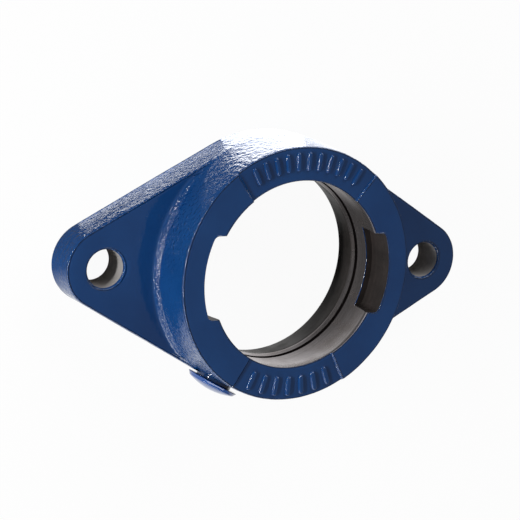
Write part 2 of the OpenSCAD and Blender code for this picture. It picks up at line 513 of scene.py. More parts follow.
@dataclass
class Casting:
    """The housing's one iron casting in millimetres, as a closed surface over direction and section.

    Attributes:
        back_edge: Width and height of the broken edge at the mounting face.
        foot_share: Share of a narrow flat that the foot fillet may take.
        foot_blend: Width of flat from which the flange fully stands out from the hub.
        hole_widen: How much wider than its flared mouth a bolt hole's tool ends.
        mouth_round: Width and depth of the soft edge at the bore's mouth.
        mouth_relief: Share of the cast relief on that edge.
        slot_margin: How far a slot's wall stands back from the turned bore before it is finished as a slot.
        slot_blend: How far it stands back before the slot has its full floor.
        slot_fall: Height that the seat falls while the slots have their floor.
        pad_ramp: Half the angle over which a pad's end falls, in degrees.
        past: How far a tool reaches past the surface that it cuts.
        crease: Edges that turn more than this many degrees stay sharp.
    """

    flange: FlangeOutline
    slots: SlotOutline
    height: float
    seat_r: float
    seat_z: float
    hole_r: float
    flange_t: float = 12.0
    flange_draft: float = math.radians(1.5)
    flange_round: float = 1.0
    back_edge: float = 0.2
    hub_r: float = 40.5
    hub_draft: float = math.radians(4.0)
    hub_round: float = 1.0
    foot_fillet: float = 2.0
    foot_share: float = 0.97
    foot_blend: float = 1.2
    hole_round: float = 1.2
    hole_widen: float = 0.05
    mouth_r: float = 29.85
    mouth_round: tuple[float, float] = (1.3, 0.4)
    mouth_relief: float = 0.3
    slot_edge: float = 0.25
    slot_margin: float = 0.02
    slot_blend: float = 0.5
    slot_fall: float = 0.6
    seat_back: float = 7.8
    relief_r: float = 31.5
    relief_chamfer: float = 0.4
    groove_w: float = 1.3
    groove_depth: float = 1.2
    groove_back: float = 5.4
    pad_depth: float = 0.7
    pad_ramp: float = 0.7
    pads: tuple[Pad, ...] = (Pad(90.0, 76.0), Pad(270.0, 60.0))
    waves: tuple[LatticeNoise, ...] = (LatticeNoise(9.0, 0.1, 3), LatticeNoise(2.6, 0.05, 7))
    grain: SandGrain = SandGrain()
    fine: Fineness = Fineness()
    past: float = 1.0
    crease: float = 32.0
    port: Port = field(init=False)
    turn: np.ndarray = field(init=False, repr=False)

    def __post_init__(self) -> None:
        """Places the port at the groove's height and sets the directions of the section planes."""
        self.port = Port(self.groove_z)
        self.turn = self.fine.directions(self.pads)

    @property
    def groove_z(self) -> float:
        """Height of the grease groove's middle."""
        return self.seat_z - self.groove_back

    def hub_wall(self, height: np.ndarray | float) -> np.ndarray | float:
        """Radius of the hub's leaning wall at a height."""
        return self.hub_r + (self.height - height) * math.tan(self.hub_draft)

    def seat(self, height: np.ndarray | float) -> np.ndarray:
        """Radius of the spherical seat at a height."""
        return np.sqrt(self.seat_r**2 - (height - self.seat_z) ** 2)

    def relief_wall(self, height: np.ndarray | float) -> np.ndarray | float:
        """Radius of the rear relief's cone, from the mounting face to the seat's back edge."""
        edge = self.seat_z - self.seat_back
        return self.relief_r - (self.relief_r - self.seat(edge)) * height / edge

    def band(self, radius: np.ndarray, height: np.ndarray, zone: Zone | np.ndarray, relief: float) -> Band:
        """Spreads rows over every direction.

        Args:
            radius: Radii that broadcast to rows by directions.
            height: Heights that broadcast likewise.
            zone: The finish, for all of it or for each row or direction.
            relief: Share of the cast relief that the rows take.

        Returns:
            The band.
        """
        spread = np.zeros_like(self.turn)[None, :]
        radius, height = np.broadcast_arrays(np.asarray(radius) + spread, np.asarray(height) + spread)
        return Band(radius, height, np.broadcast_to(np.asarray(zone, int), radius.shape), relief)

    def front(self) -> np.ndarray:
        """Height of the front face, lower over the pads by a steep ramp at their ends.

        Returns:
            One height for each direction.
        """
        degrees = np.degrees(self.turn)
        outside = [np.abs(degrees - pad.middle) - pad.angle / 2 for pad in self.pads]
        sunk = [Fade(self.pad_ramp, -self.pad_ramp).at(angle) for angle in outside]
        return self.height - self.pad_depth * np.maximum.reduce(sunk)

    def flange_side(self) -> list[Band]:
        """Mounting face and leaning side of the flange.

        Returns:
            The mounting face, out from the bore, and the side, up to the start of its rounding.
        """
        inner = self.relief_wall(self.relief_chamfer) + self.relief_chamfer
        outer = self.flange.radius(self.turn, self.back_edge)
        share = np.linspace(0.0, 1.0, self.fine.back)[:, None]
        side_z = np.linspace(self.back_edge, self.flange_t - self.flange_round, self.fine.side)[:, None]
        side = self.flange.radius(self.turn, side_z * math.tan(self.flange_draft))
        return [
            self.band(inner + share * (outer - inner), 0.0 * share, Zone.BACK, 0.0),
            self.band(side, side_z, Zone.ENAMEL, 1.0),
        ]

    def shoulder(self) -> Band:
        """From the flange's rounded edge over its front face and the foot fillet to the hub's wall.

        Where the flange stands out from the hub the rows follow edge, flat and fillet. Where it does not,
        they run up the wider of the two walls. A smooth step of the flat's width blends the two.

        Returns:
            One band with the same rows all round.
        """
        lean, edge_r = self.flange_draft, self.flange_round
        centre_z = self.flange_t - edge_r
        centre_in = centre_z * math.tan(lean) + edge_r / math.cos(lean)
        arc = rows_after(lean, QUARTER, self.fine.rounding)
        edge = self.flange.radius(self.turn, centre_in - edge_r * np.cos(arc))
        edge_z = centre_z + edge_r * np.sin(arc)
        flat_r = self.flange.radius(self.turn, centre_in)
        wall_r = self.hub_wall(self.flange_t)
        opening = 1.0 / math.cos(self.hub_draft) - math.tan(self.hub_draft)
        fillet = np.clip(self.foot_share * (flat_r - wall_r) / opening, 0.0, self.foot_fillet)
        fillet_r, fillet_z = wall_r + fillet * opening, self.flange_t + fillet
        flat = flat_r + rows_after(0.0, 1.0, self.fine.flat) * (fillet_r - flat_r)
        bend = rows_after(3.0 * QUARTER, 2.0 * QUARTER + self.hub_draft, self.fine.rounding)
        curve, curve_z = fillet_r + fillet * np.cos(bend), fillet_z + fillet * np.sin(bend)
        open_r = np.concatenate([edge, flat, curve])
        open_z = np.concatenate([edge_z + 0.0 * edge, self.flange_t + 0.0 * flat, curve_z])
        shut_z = rows_after(centre_z, self.flange_t + self.foot_fillet, len(open_r) + 1)
        drop = np.clip((shut_z - centre_z) / edge_r, 0.0, 1.0)
        rounded = self.flange.radius(self.turn, centre_in - edge_r * np.sqrt(1.0 - drop**2))
        shut_r = np.maximum(np.where(drop < 1.0, rounded, 0.0), self.hub_wall(shut_z))
        stands = smooth_step((flat_r - wall_r) / self.foot_blend)
        radius = shut_r + stands * (open_r - shut_r)
        height = shut_z + stands * (open_z - shut_z)
        return self.band(radius, height, Zone.ENAMEL, 1.0)

    def hub(self, foot_z: np.ndarray) -> list[Band]:
        """The hub's wall, its rounded front edge, the front face and its soft inner edge.

        The inner edge is a quarter ellipse, broad and shallow at the mouth and small at the slots.

        Args:
            foot_z: Height at which the wall leaves the foot fillet, at each direction.

        Returns:
            Wall, rounded edge, front face and inner edge, in toward the bore.
        """
        front = self.front()
        wall_end = front - self.hub_round
        wall_z = foot_z + rows_after(0.0, 1.0, self.fine.wall) * (wall_end - foot_z)
        centre_r = self.hub_wall(wall_end) - self.hub_round / math.cos(self.hub_draft)
        arc = rows_after(self.hub_draft, QUARTER, self.fine.rounding)
        edge_r, edge_z = centre_r + self.hub_round * np.cos(arc), wall_end + self.hub_round * np.sin(arc)
        slot = self.slots.radius(self.turn)
        mouth_wide, mouth_deep = self.mouth_round
        in_slot = smooth_step((slot - self.mouth_r) / mouth_wide)
        wide = mouth_wide + in_slot * (self.slot_edge - mouth_wide)
        deep = mouth_deep + in_slot * (self.slot_edge - mouth_deep)
        inner = np.maximum(self.mouth_r, slot)
        face_r = centre_r + rows_after(0.0, 1.0, self.fine.front) * (inner + wide - centre_r)
        bend = rows_after(0.0, QUARTER, self.fine.rounding)
        inner_r, inner_z = inner + wide * (1.0 - np.sin(bend)), front - deep * (1.0 - np.cos(bend))
        return [
            self.band(self.hub_wall(wall_z), wall_z, Zone.ENAMEL, 1.0),
            self.band(edge_r, edge_z, Zone.ENAMEL, 1.0),
            self.band(face_r, front, Zone.ENAMEL, 1.0),
            self.band(inner_r, inner_z, Zone.ENAMEL, self.mouth_relief),
        ]

    def bore(self) -> list[Band]:
        """The front mouth, the upper half of the seat with its slots, and the slots' floor.

        The radius is the larger of the turned bore and the slot's wall, so the slots cut through the lip.

        Returns:
            Mouth and upper seat, then the step at the seat's middle.
        """
        slot = self.slots.radius(self.turn)
        lip_z = self.seat_z + math.sqrt(self.seat_r**2 - self.mouth_r**2)
        seat_turn = rows_after(math.asin((lip_z - self.seat_z) / self.seat_r), 0.0, self.fine.seat)
        rows_z = np.concatenate([[[lip_z]], self.seat_z + self.seat_r * np.sin(seat_turn)])
        turned_r = np.concatenate([[[self.mouth_r]], self.seat_r * np.cos(seat_turn)])
        zone = np.where(slot > turned_r + self.slot_margin, Zone.SLOT, Zone.SEAT)
        floor_r = np.maximum(self.seat_r, slot)
        in_slot = smooth_step((floor_r - self.seat_r) / self.slot_blend)
        share = rows_after(0.0, 1.0, self.fine.slot_floor)
        bend = share * QUARTER
        flat = floor_r + share * (self.seat_r + self.slot_edge - floor_r)
        curve = self.seat_r + self.slot_edge * (1.0 - np.sin(bend)) + 0.0 * slot
        floor = np.concatenate([flat, curve])
        drop = np.concatenate([0.0 * bend, self.slot_edge * (1.0 - np.cos(bend))])
        seat_drop = rows_after(0.0, self.slot_fall, len(floor) + 1)
        step_z = self.seat_z - (in_slot * drop + (1.0 - in_slot) * seat_drop)
        step_r = in_slot * floor + (1.0 - in_slot) * self.seat(step_z)
        floor_zone = np.where(drop > 0.0, Zone.ENAMEL, Zone.SLOT)
        step_zone = np.where(in_slot > 0.5, floor_zone, Zone.SEAT)
        return [
            self.band(np.maximum(turned_r, slot), rows_z, zone, 0.0),
            self.band(step_r, step_z, step_zone, 0.0),
        ]

    def seat_back_half(self, start_z: np.ndarray) -> list[Band]:
        """The seat behind its middle, the grease groove, the land and the rear relief.

        Args:
            start_z: Height at which the seat goes on, at each direction.

        Returns:
            The bands down to the chamfer at the mounting face.
        """
        top, bottom = self.groove_z + self.groove_w / 2, self.groove_z - self.groove_w / 2
        upper_z = start_z + rows_after(0.0, 1.0, self.fine.seat_back) * (top - start_z)
        groove_r = self.seat(self.groove_z) + self.groove_depth
        groove_z = np.array([[top], [self.groove_z], [bottom]])
        edge = self.seat_z - self.seat_back
        land_z = np.linspace(bottom, edge, self.fine.land)[:, None]
        land_zone = np.where(land_z < bottom, Zone.SEAT, Zone.GROOVE)
        relief_z = rows_after(edge, self.relief_chamfer, self.fine.relief)
        return [
            self.band(self.seat(upper_z), upper_z, Zone.SEAT, 0.0),
            self.band(groove_r, groove_z, Zone.GROOVE, 0.0),
            self.band(self.seat(land_z), land_z, land_zone, 0.0),
            self.band(self.relief_wall(relief_z), relief_z, Zone.RELIEF, 0.0),
        ]

    def skin(self) -> tuple[np.ndarray, np.ndarray, np.ndarray]:
        """Joins the bands into one closed surface and presses the cast relief into its painted part.

        Every point moves inward along the surface's normal by two noises, a long wave and a short one, so
        the casting stays inside its drawn size.

        Returns:
            The points as rows by directions by three, the quads, and the finish of each quad.
        """
        shoulder = self.shoulder()
        bore = self.bore()
        bands = [*self.flange_side(), shoulder, *self.hub(shoulder.height[-1]), *bore]
        bands += self.seat_back_half(bore[-1].height[-1])
        radius = np.concatenate([band.radius for band in bands])
        height = np.concatenate([band.height for band in bands])
        relief = np.concatenate([np.full(len(band.radius), band.relief) for band in bands])
        points = np.stack([radius * np.cos(self.turn), radius * np.sin(self.turn), height], axis=-1)
        round_way = np.roll(points, -1, axis=1) - np.roll(points, 1, axis=1)
        up_way = np.roll(points, -1, axis=0) - np.roll(points, 1, axis=0)
        normal = np.cross(round_way, up_way)
        normal /= np.maximum(np.linalg.norm(normal, axis=-1, keepdims=True), NEAR_ZERO)
        pressed = sum(noise.at(points) for noise in self.waves) * relief[:, None]
        faces = grid_faces(len(points), len(self.turn), True)
        zone = np.concatenate([band.zone for band in bands])
        return points - normal * pressed[..., None], faces, np.roll(zone, -1, axis=0).ravel()

    def tool(
        self, name: str, profile: list | np.ndarray, zones: list[Zone], bolt_x: float | None = None
    ) -> bpy.types.Object:
        """Makes a turned tool that is joined to the casting or cut out of it.

        Args:
            name: Name of the object.
            profile: Points [radius, z] from its lower end to its upper end.
            zones: The finish of each stretch of the profile.
            bolt_x: Place along X of a tool that points up, or None for one that points out of the port.

        Returns:
            The tool's object.
        """
        points, faces = turned(np.array(profile))
        if bolt_x is None:
            points = self.port.place(points)
        else:
            points = points + np.array([bolt_x, 0.0, 0.0])
        made = mesh_object(name, points, faces, self.crease)
        finishes = np.repeat([*zones, zones[0], zones[-1]], ROUND_STEPS)
        made.data.polygons.foreach_set("material_index", finishes.astype(np.int32))
        return made

    def tools(self) -> list[tuple[bpy.types.Object, Use]]:
        """Makes the port's raised face, the port with its drilling and the two bolt holes.

        Returns:
            Each tool with what it does to the casting.
        """
        face_r, bore_r, drill_r = self.port.face_d / 2, self.port.bore_d / 2, self.port.drill_d / 2
        bottom, edge = -self.port.bore_depth, self.port.face_edge
        drill_end = self.mouth_r - self.past - self.port.face_r
        raised = [[face_r, bottom], [face_r, -edge], [face_r - edge, 0.0]]
        bored = [[drill_r, drill_end], [drill_r, bottom], [bore_r, bottom], [bore_r, self.past]]
        centre = (self.hole_r + self.hole_round, self.flange_t - self.hole_round)
        flare = arc_points(centre, self.hole_round, (2.0 * QUARTER, QUARTER), self.fine.hole_mouth)
        top = [flare[-1, 0] + self.hole_widen, self.flange_t + self.past]
        hole = [[self.hole_r, -self.past], *flare.tolist(), top]
        hole_zones = [Zone.DRILLED, *[Zone.ENAMEL] * len(flare)]
        made = [
            (self.tool("port_face_tool", raised, [Zone.ENAMEL] * 2), Use.JOIN),
            (self.tool("port_tool", bored, [Zone.DRILLED] * 3), Use.CUT),
        ]
        for side, bolt_x in (("left", -self.flange.bolt_x), ("right", self.flange.bolt_x)):
            made.append((self.tool(f"{side}_hole_tool", hole, hole_zones, bolt_x), Use.CUT))
        return made

    def mark_rough(self, mesh: bpy.types.Mesh) -> None:
        """Stores how rough the sand left each point, as a point attribute from 0 to 1.

        Args:
            mesh: The finished mesh.
        """
        normals, places = (np.empty(len(mesh.vertices) * 3, np.float32) for _ in range(2))
        mesh.vertex_normals.foreach_get("vector", normals)
        mesh.vertices.foreach_get("co", places)
        off_port = self.port.distance(places.reshape(-1, 3) / MM)
        share = self.grain.share(normals.reshape(-1, 3), off_port, self.port.face_d / 2)
        rough = mesh.attributes.new(ROUGH, "FLOAT", "POINT")
        rough.data.foreach_set("value", share.astype(np.float32))

    def build(self, finishes: dict[Zone, bpy.types.Material]) -> bpy.types.Object:
        """Builds the casting, joins and cuts its tools, and shades it.

        Args:
            finishes: The material of each zone.

        Returns:
            The casting's object, in place of the frame's own housing.
        """
        points, faces, zones = self.skin()
        made = mesh_object("casting", points.reshape(-1, 3), faces.tolist(), self.crease)
        self.dress(made, finishes)
        made.data.polygons.foreach_set("material_index", zones.astype(np.int32))
        tools = self.tools()
        for tool, use in tools:
            self.dress(tool, finishes)
            cut = made.modifiers.new(tool.name, "BOOLEAN")
            cut.operation, cut.object, cut.solver = use.value, tool, "EXACT"
            cut.material_mode = "INDEX"
        graph = bpy.context.evaluated_depsgraph_get()
        cut_mesh = bpy.data.meshes.new_from_object(made.evaluated_get(graph))
        made.modifiers.clear()
        made.data = cut_mesh
        cut_mesh.name = "casting"
        for tool, _ in tools:
            bpy.data.objects.remove(tool)
        shade(cut_mesh, self.crease)
        self.mark_rough(cut_mesh)
        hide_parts("housing")
        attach(made, BODY)
        log.info("casting: %d faces", len(cut_mesh.polygons))
        return made

    def dress(self, made: bpy.types.Object, finishes: dict[Zone, bpy.types.Material]) -> None:
        """Gives the casting or one of its tools its materials, one slot for each zone."""
        for zone in Zone:
            made.data.materials.append(finishes[zone])


@dataclass
class PortPlug:
    """The push-in plug of the lubrication port in millimetres: a low domed head on a hollow stem.

    Attributes:
        housing: The casting whose port it closes.
        web: Depth below the port's face at which the stem's hollow ends.
        clear: Room between the stem and the port's bore.
        rim_bend: How far the rim's upper rounding turns before the dome, in radians.
        axis_r: Radius at which the section stops short of the axis.
    """

    housing: Casting
    head_d: float = 17.0
    rim: float = 1.2
    dome: float = 1.6
    taper: float = 0.6
    stem: float = 5.0
    wall: float = 1.2
    web: float = 1.0
    clear: float = 0.15
    rim_round: float = 0.25
    rim_bend: float = math.radians(60.0)
    axis_r: float = 0.05
    rim_rows: int = 5
    dome_rows: int = 22
    crease: float = 35.0

    def profile(self) -> np.ndarray:
        """Section of the plug from inside its stem, down, out, over the head's rounded rim and up the dome.

        The dome is a circle through the rim and the middle of the head.

        Returns:
            Points [radius, z] from the port's face, with both ends near the axis.
        """
        head_r, stem_r = self.head_d / 2, self.housing.port.bore_d / 2 - self.clear
        top_r, bore_r, soft = head_r - self.taper, stem_r - self.wall, self.rim_round
        dome_r = (top_r**2 + self.dome**2) / (2.0 * self.dome)
        hollow = [[self.axis_r, -self.web], [bore_r, -self.web], [bore_r, -self.stem]]
        outside = [[stem_r, -self.stem], [stem_r, 0.0]]
        lower = arc_points((head_r - soft, soft), soft, (-QUARTER, 0.0), self.rim_rows)
        upper = arc_points((top_r - soft, self.rim - soft), soft, (0.0, self.rim_bend), self.rim_rows)
        across = np.linspace(top_r - soft, self.axis_r, self.dome_rows)
        crown = self.rim + self.dome - dome_r + np.sqrt(dome_r**2 - across**2)
        return np.concatenate([hollow, outside, lower, upper, np.stack([across, crown], axis=-1)])

    def build(self) -> bpy.types.Object:
        """Builds the plug in its port.

        Returns:
            The plug's object, in place of the frame's own plug.
        """
        points, faces = turned(self.profile())
        made = mesh_object("plug", self.housing.port.place(points), faces, self.crease)
        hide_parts("port_plug")
        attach(made, BODY)
        log.info("plug: %d faces", len(made.data.polygons))
        return made

    def dress(self, made: bpy.types.Object, finish: bpy.types.Material) -> None:
        """Gives the plug its material."""
        made.data.materials.append(finish)


@dataclass(frozen=True)
class RibRow:
    """A row of raised ribs: its middle (degrees), how many, their step (degrees) and their half size."""

    middle: float
    count: int
    step: float
    half_wide: float
    half_long: float


@dataclass
class CastMarks:
    """Plain raised ribs cast in the sunk pads of the front face, in millimetres.

    Attributes:
        housing: The casting that they stand on.
        middle_r: Distance of the ribs' middles from the bore's axis.
        rise: Height of a rib above its pad.
        sunk: Depth of its lowest ring below the pad.
        foot_out: How much wider that ring is than the rib.
        draw_in: How much narrower the rib is at the end of its rounding.
        crown_in: How much narrower its highest ring is.
        power: Power of the superellipse that a rib's outline follows.
    """

    housing: Casting
    rows: tuple[RibRow, ...] = (RibRow(90.0, 11, 6.0, 0.75, 2.9), RibRow(270.0, 7, 7.4, 0.9, 3.1))
    middle_r: float = 35.9
    rise: float = 0.62
    sunk: float = 0.35
    foot_out: float = 0.25
    draw_in: float = 0.5
    crown_in: float = 0.6
    power: int = 4
    rings: int = 9
    segments: int = 56
    crease: float = 50.0

    def rib(self, row: RibRow, turn: float) -> np.ndarray:
        """One rib: rings of a rounded oblong, drawn in toward the top by a quarter ellipse.

        The outline is the superellipse |x|^p + |y|^p = 1, stretched to the rib's half sizes. The lowest
        ring is sunk below the pad.

        Args:
            row: Sizes of the rib.
            turn: Its direction, in radians.

        Returns:
            Points as rings by segments by three.
        """
        round_way = np.linspace(0.0, 4.0 * QUARTER, self.segments, endpoint=False)
        cos, sin = np.cos(round_way), np.sin(round_way)
        reach = (cos**self.power + sin**self.power) ** (-1.0 / self.power)
        bend = np.linspace(0.0, QUARTER, self.rings - 2)
        grow = np.concatenate([[self.foot_out], self.draw_in * (np.cos(bend) - 1.0), [-self.crown_in]])
        rise = np.concatenate([[-self.sunk], self.rise * np.sin(bend), [self.rise]])
        across = (row.half_wide + grow[:, None]) * reach * cos
        out = self.middle_r + (row.half_long + grow[:, None]) * reach * sin
        x = out * math.cos(turn) + across * math.sin(turn)
        y = out * math.sin(turn) - across * math.cos(turn)
        floor_z = self.housing.height - self.housing.pad_depth
        return np.stack([x, y, floor_z + rise[:, None] + 0.0 * x], axis=-1)

    def build(self) -> bpy.types.Object:
        """Builds the ribs as closed shells in one piece.

        Returns:
            The marks' object.
        """
        ribs = np.stack([
            self.rib(row, math.radians(row.middle + (index - (row.count - 1) / 2) * row.step))
            for row in self.rows
            for index in range(row.count)
        ])
        ends = ribs[:, [0, -1]].mean(axis=2)
        points = np.concatenate([ribs.reshape(len(ribs), -1, 3), ends], axis=1).reshape(-1, 3)
        faces = shell_faces(self.rings, self.segments, len(ribs))
        made = mesh_object("cast_marks", points, faces, self.crease)
        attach(made, BODY)
        log.info("cast marks: %d ribs", len(ribs))
        return made

    def dress(self, made: bpy.types.Object, finish: bpy.types.Material) -> None:
        """Gives the marks their material."""
        made.data.materials.append(finish)


class ShaderTree:
    """Adds nodes to one shader tree and links them."""

    # Sockets of a node that mixes colours
    MIX_SHARE, MIX_FIRST, MIX_SECOND, MIXED = 0, 6, 7, 2

    def __init__(self, tree: bpy.types.NodeTree) -> None:
        """Keeps the tree and takes away the nodes it came with."""
        self.tree = tree
        tree.nodes.clear()

    def node(
        self, kind: str, inputs: dict[str | int, Feed] | None = None, **settings: object
    ) -> bpy.types.Node:
        """Adds a node.

        Args:
            kind: The node's type, without the words that all of them start with.
            inputs: Input sockets by name or number; a socket is linked and a plain value is set.
            settings: Properties of the node itself.

        Returns:
            The node.
        """
        made = self.tree.nodes.new("ShaderNode" + kind)
        for name, value in settings.items():
            setattr(made, name, value)
        for name, value in (inputs or {}).items():
            if isinstance(value, Socket):
                self.tree.links.new(value, made.inputs[name])
            else:
                made.inputs[name].default_value = value
        return made

    def place(self) -> Socket:
        """The surface's own place, in metres."""
        return self.node("TexCoord").outputs["Object"]

    def noise(self, place: Socket, per_metre: Feed, detail: float = 3.0) -> Socket:
        """Fractal noise of so many cells a metre, from 0 to 1."""
        return self.node("TexNoise", {"Vector": place, "Scale": per_metre, "Detail": detail}).outputs["Fac"]

    def ramp(self, value: Socket, span: tuple, ends: tuple = WHOLE) -> Socket:
        """Maps a span of a value to the two ends given, held at both."""
        limits = {"From Min": span[0], "From Max": span[1], "To Min": ends[0], "To Max": ends[1]}
        return self.node("MapRange", {"Value": value, **limits}).outputs["Result"]

    def sum(self, what: Sum, first: Feed, second: Feed = 0.0) -> Socket:
        """Works out one sum of values or sockets."""
        return self.node("Math", {0: first, 1: second}, operation=what.value).outputs[0]

    def length(self, vector: Socket) -> Socket:
        """Length of a vector."""
        return self.node("VectorMath", {0: vector}, operation="LENGTH").outputs["Value"]

    def mix(self, share: Feed, first: Feed, second: Feed) -> Socket:
        """Mixes two colours by a share."""
        inputs = {self.MIX_SHARE: share, self.MIX_FIRST: first, self.MIX_SECOND: second}
        return self.node("Mix", inputs, data_type="RGBA").outputs[self.MIXED]

    def darken(self, colour: Feed, share: Feed) -> Socket:
        """Multiplies a colour by a share."""
        inputs = {self.MIX_SHARE: 1.0, self.MIX_FIRST: colour, self.MIX_SECOND: share}
        return self.node("Mix", inputs, data_type="RGBA", blend_type="MULTIPLY").outputs[self.MIXED]

    def group(self, tree: bpy.types.NodeTree, **inputs: Feed) -> bpy.types.Node:
        """Places a node group with its inputs."""
        return self.node("Group", inputs, node_tree=tree)

    def finish(self, shader: Socket, kind: str = "OutputMaterial") -> None:
        """Links a shader to the tree's output."""
        self.node(kind, {"Surface": shader})


def new_material(name: str) -> tuple[bpy.types.Material, ShaderTree]:
    """Makes an empty material.

    Args:
        name: The material's name.

    Returns:
        The material and its tree helper.
    """
    made = bpy.data.materials.new(name)
    made.use_nodes = True
    return made, ShaderTree(made.node_tree)


def new_group(name: str, inputs: dict[str, float | None], outputs: tuple[str, ...]) -> tuple:
    """Makes an empty node group with its sockets.

    Args:
        name: The group's name.
        inputs: Names of its inputs, with their usual value, or None for a place.
        outputs: Names of its outputs, which are values.

    Returns:
        The group, its tree helper, and its input and output nodes.
    """
    tree = bpy.data.node_groups.new(name, "ShaderNodeTree")
    for label, value in inputs.items():
        kind = "NodeSocketVector" if value is None else "NodeSocketFloat"
        socket = tree.interface.new_socket(label, in_out="INPUT", socket_type=kind)
        if value is not None:
            socket.default_value = value
    for label in outputs:
        tree.interface.new_socket(label, in_out="OUTPUT", socket_type="NodeSocketFloat")
    helper = ShaderTree(tree)
    return tree, helper, tree.nodes.new("NodeGroupInput"), tree.nodes.new("NodeGroupOutput")


def cast_grain_group() -> bpy.types.NodeTree:
    """Sand-cast grain under paint: a height of fine and slower grain, and a slow change of tone.

    Returns:
        The group, with inputs Place and Grain (cells a metre) and outputs Height and Tone.
    """
    slower, slow_tone, fine_share = 0.4, 0.06, 0.6
    grain_detail, tone_detail = 2.0, 4.0
    tree, make, start, end = new_group("cast_grain", {"Place": None, "Grain": 900.0}, ("Height", "Tone"))
    place, grain = start.outputs["Place"], start.outputs["Grain"]
    fine = make.noise(place, grain, grain_detail)
    slow = make.noise(place, make.sum(Sum.MULTIPLY, grain, slower), grain_detail)
    fine_part = make.sum(Sum.MULTIPLY, fine, fine_share)
    slow_part = make.sum(Sum.MULTIPLY, slow, 1.0 - fine_share)
    tone = make.noise(place, make.sum(Sum.MULTIPLY, grain, slow_tone), tone_detail)
    tree.links.new(make.sum(Sum.ADD, fine_part, slow_part), end.inputs["Height"])
    tree.links.new(tone, end.inputs["Tone"])
    return tree


def tool_mark_group() -> bpy.types.NodeTree:
    """Marks of a cutting tool: fine rings along one direction, broken up, with stains between them.

    Returns:
        The group, with inputs Place, Along (the coordinate the rings follow) and Rings (a metre), and
        outputs Height and Stain.
    """
    breaks, break_reach, ring_detail = 260.0, 1.5, 2.0
    stains, stain_detail, stain_span = 120.0, 5.0, (0.42, 0.68)
    inputs = {"Place": None, "Along": 0.0, "Rings": 3000.0}
    tree, make, start, end = new_group("tool_marks", inputs, ("Height", "Stain"))
    place = start.outputs["Place"]
    phase = make.sum(Sum.MULTIPLY, start.outputs["Along"], start.outputs["Rings"])
    broken = make.sum(Sum.MULTIPLY, make.noise(place, breaks), break_reach)
    line = make.node("CombineXYZ", {"X": phase, "Y": 0.0, "Z": broken}).outputs["Vector"]
    tree.links.new(make.noise(line, 1.0, ring_detail), end.inputs["Height"])
    tree.links.new(make.ramp(make.noise(place, stains, stain_detail), stain_span), end.inputs["Stain"])
    return tree


@dataclass(frozen=True)
class Enamel:
    """Gloss paint or plastic that follows the grain under it, so that its shine breaks into specks.

    Attributes:
        name: Name of the material.
        deep: The darker of its two tones.
        clear: The lighter tone.
        gloss: Roughness of the shine at the darker and the lighter tone.
        grain: Cells of grain a metre.
        bump: Height of the grain, in metres.
        smooth_share: Share of the grain that level faces keep.
        index: Index of refraction.
        coat: Weight of a clear coat.
        tone_span: Span of the slow noise over which the tone changes.
        gloss_span: Span of it over which the shine changes.
    """

    name: str
    deep: tuple
    clear: tuple
    gloss: tuple[float, float]
    grain: float
    bump: float
    smooth_share: float
    index: float
    coat: float = 0.0
    tone_span: tuple[float, float] = (0.35, 0.65)
    gloss_span: tuple[float, float] = (0.3, 0.7)

    def material(self, grain_group: bpy.types.NodeTree) -> bpy.types.Material:
        """Builds the enamel.

        Args:
            grain_group: The cast grain's node group.

        Returns:
            The material.
        """
        made, make = new_material(self.name)
        grain = make.group(grain_group, Place=make.place(), Grain=self.grain)
        colour = make.mix(make.ramp(grain.outputs["Tone"], self.tone_span), self.deep, self.clear)
        rough = make.ramp(grain.outputs["Tone"], self.gloss_span, self.gloss)
        rough_cast = make.node("Attribute", attribute_name=ROUGH).outputs["Fac"]
        depth = make.ramp(rough_cast, WHOLE, (self.smooth_share, 1.0))
        height = make.sum(Sum.MULTIPLY, grain.outputs["Height"], depth)
        bump = make.node("Bump", {"Strength": 1.0, "Distance": self.bump, "Height": height})
        shine = {"Roughness": rough, "IOR": self.index, "Coat Weight": self.coat}
        look = {"Base Color": colour, "Normal": bump.outputs["Normal"], **shine}
        make.finish(make.node("BsdfPrincipled", look).outputs["BSDF"])
        return made


@dataclass(frozen=True)
class BareIron:
    """Bare iron: rings left by a cutter, brown stains and a dull shine.

    Attributes:
        name: Name of the material.
        bright: Its colour where it is clean.
        stain: Its colour where it is stained.
        gloss: Roughness of the shine where it is clean and where it is stained.
        metal: How much of it shines as metal.
        along: The coordinate that the cutter's rings follow.
        rings: Rings a metre.
        bump: Height of the rings, in metres.
        shine: Level of the shine that isn't metal.
        ring_span: Span of the rings' height over which their shade changes.
        ring_shade: Shade at the bottom and at the top of a ring.
    """

    name: str
    bright: tuple
    stain: tuple
    gloss: tuple[float, float]
    metal: float
    rings: float
    bump: float
    along: Along = Along.Z
    shine: float = 0.5
    ring_span: tuple[float, float] = (0.3, 0.7)
    ring_shade: tuple[float, float] = (0.8, 1.0)

    def material(self, marks_group: bpy.types.NodeTree) -> bpy.types.Material:
        """Builds the iron.

        Args:
            marks_group: The tool marks' node group.

        Returns:
            The material.
        """
        made, make = new_material(self.name)
        place = make.place()
        along = make.node("SeparateXYZ", {"Vector": place}).outputs[int(self.along)]
        marks = make.group(marks_group, Place=place, Along=along, Rings=self.rings)
        colour = make.mix(marks.outputs["Stain"], self.bright, self.stain)
        lined = make.darken(colour, make.ramp(marks.outputs["Height"], self.ring_span, self.ring_shade))
        rough = make.ramp(marks.outputs["Stain"], WHOLE, self.gloss)
        height = marks.outputs["Height"]
        bump = make.node("Bump", {"Strength": 1.0, "Distance": self.bump, "Height": height})
        shine = {"Roughness": rough, "Metallic": self.metal, "Specular IOR Level": self.shine}
        look = {"Base Color": lined, "Normal": bump.outputs["Normal"], **shine}
        make.finish(make.node("BsdfPrincipled", look).outputs["BSDF"])
        return made


